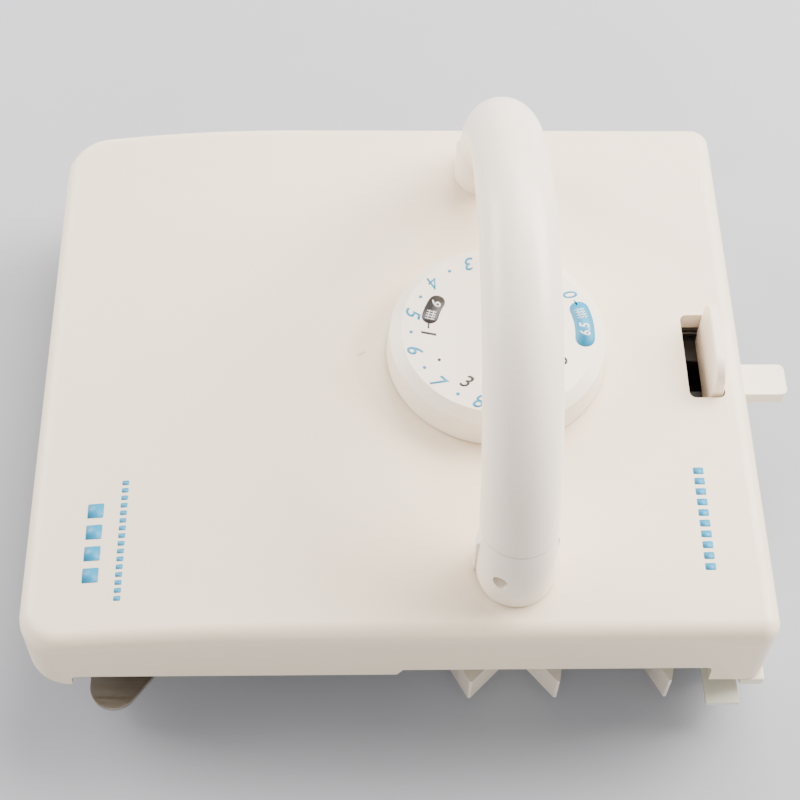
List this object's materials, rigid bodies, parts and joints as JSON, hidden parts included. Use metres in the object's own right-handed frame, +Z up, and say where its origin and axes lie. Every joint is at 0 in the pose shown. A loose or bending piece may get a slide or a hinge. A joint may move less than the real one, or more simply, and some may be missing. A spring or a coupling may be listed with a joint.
{
  "type": "knitting machine intarsia carriage",
  "caption": "Hand-held knitting carriage: moulded cover with a fold-down arch handle, stitch dial, trip lever and cams on a steel plate underneath.",
  "frame": {"origin": "on the plane of the slider shoes' soles, under the centre of the cover's outline", "axes": "+X to the rear of the knitting machine, +Y along the needle bed (direction of travel), +Z up"},
  "size_m": [0.2255, 0.194, 0.1178],
  "materials": {
    "cover_plastic": "fine satin grain, cream",
    "handle_plastic": "smooth satin, cream",
    "dial_plastic": "smooth satin, cream, printed scale",
    "cam_plastic": "satin acetal, cream",
    "dark_plastic": "satin acetal, dark grey",
    "nylon": "translucent white nylon",
    "sheet_steel": "zinc-plated sheet",
    "presser_steel": "brushed stainless strip",
    "screw_steel": "nickel-plated",
    "spring_steel": "blued spring steel",
    "bristle": "short black bristles"
  },
  "bodies": {
    "carriage": {"cover": "cover_plastic", "cover_screws": "screw_steel", "base_plate": "sheet_steel", "guide_cam_front": "cam_plastic", "guide_cam_middle": "cam_plastic", "guide_cam_rear": "cam_plastic", "lift_cam_left": "dark_plastic", "lift_cam_right": "dark_plastic", "centre_cam": "dark_plastic", "cam_screws": "screw_steel", "rear_shoe_left": "nylon", "rear_shoe_right": "nylon", "rear_hook_left": "cam_plastic", "rear_hook_right": "cam_plastic", "shoe_screws": "screw_steel", "front_shoe_left": "nylon", "front_shoe_right": "nylon", "presser_plate": "presser_steel", "presser_brackets": "dark_plastic", "presser_screws": "screw_steel", "brush_axles": "screw_steel", "dial_bush": "dark_plastic", "dial_detent_spring": "spring_steel", "slider_guides": "screw_steel", "trip_guide": "dark_plastic", "trip_detent_spring": "spring_steel", "handle_post_left": "handle_plastic", "handle_post_right": "handle_plastic", "handle_pivot_pins": "screw_steel", "handle_post_screws": "screw_steel"},
    "dial_unit": {"dial": "dial_plastic", "dial_spindle": "screw_steel", "dial_clip": "spring_steel", "stitch_disc": "cam_plastic"},
    "stitch_slider": {"stitch_slider": "sheet_steel", "stitch_follower": "screw_steel"},
    "stitch_cam_left": {"stitch_cam_left": "dark_plastic", "stitch_clip_left": "spring_steel"},
    "stitch_cam_right": {"stitch_cam_right": "dark_plastic", "stitch_clip_right": "spring_steel"},
    "trip_lever": {"trip_lever": "handle_plastic"},
    "handle": {"handle_grip": "handle_plastic", "handle_cap_left": "handle_plastic", "handle_cap_right": "handle_plastic"},
    "brush_wheel_left": {"brush_hub_left": "dark_plastic", "brush_left": "bristle"},
    "brush_wheel_right": {"brush_hub_right": "dark_plastic", "brush_right": "bristle"}
  },
  "joints": [
    {"name": "dial_turn", "type": "hinge", "parent": "carriage", "child": "dial_unit", "pos_m": [0.0304, 0.0012, 0.0463], "axis": [0, 0, 1], "range_deg": [-134, 150]},
    {"name": "stitch_slide", "type": "slide", "parent": "carriage", "child": "stitch_slider", "axis": [1, 0, 0], "range_m": [-0.00524, 0.00468]},
    {"name": "stitch_cam_left_slide", "type": "slide", "parent": "carriage", "child": "stitch_cam_left", "axis": [0.6428, -0.766, 0], "range_m": [-0.00815, 0.00728]},
    {"name": "stitch_cam_right_slide", "type": "slide", "parent": "carriage", "child": "stitch_cam_right", "axis": [0.6428, 0.766, 0], "range_m": [-0.00815, 0.00728]},
    {"name": "trip_slide", "type": "slide", "parent": "carriage", "child": "trip_lever", "axis": [1, 0, 0], "range_m": [-0.0062, 0]},
    {"name": "handle_fold", "type": "hinge", "parent": "carriage", "child": "handle", "pos_m": [0.0271, 0, 0.0559], "axis": [0, -1, 0], "range_deg": [0, 90]},
    {"name": "brush_left_spin", "type": "hinge", "parent": "carriage", "child": "brush_wheel_left", "pos_m": [-0.07855, 0.034, 0.003], "axis": [0, 0, 1], "continuous": true},
    {"name": "brush_right_spin", "type": "hinge", "parent": "carriage", "child": "brush_wheel_right", "pos_m": [-0.07855, -0.034, 0.003], "axis": [0, 0, 1], "continuous": true}
  ],
  "couplings": [
    {"joint": "stitch_slide", "follows": "dial_turn", "m_per_rad": -0.002},
    {"joint": "stitch_cam_left_slide", "follows": "dial_turn", "m_per_rad": -0.0031114},
    {"joint": "stitch_cam_right_slide", "follows": "dial_turn", "m_per_rad": -0.0031114}
  ]
}
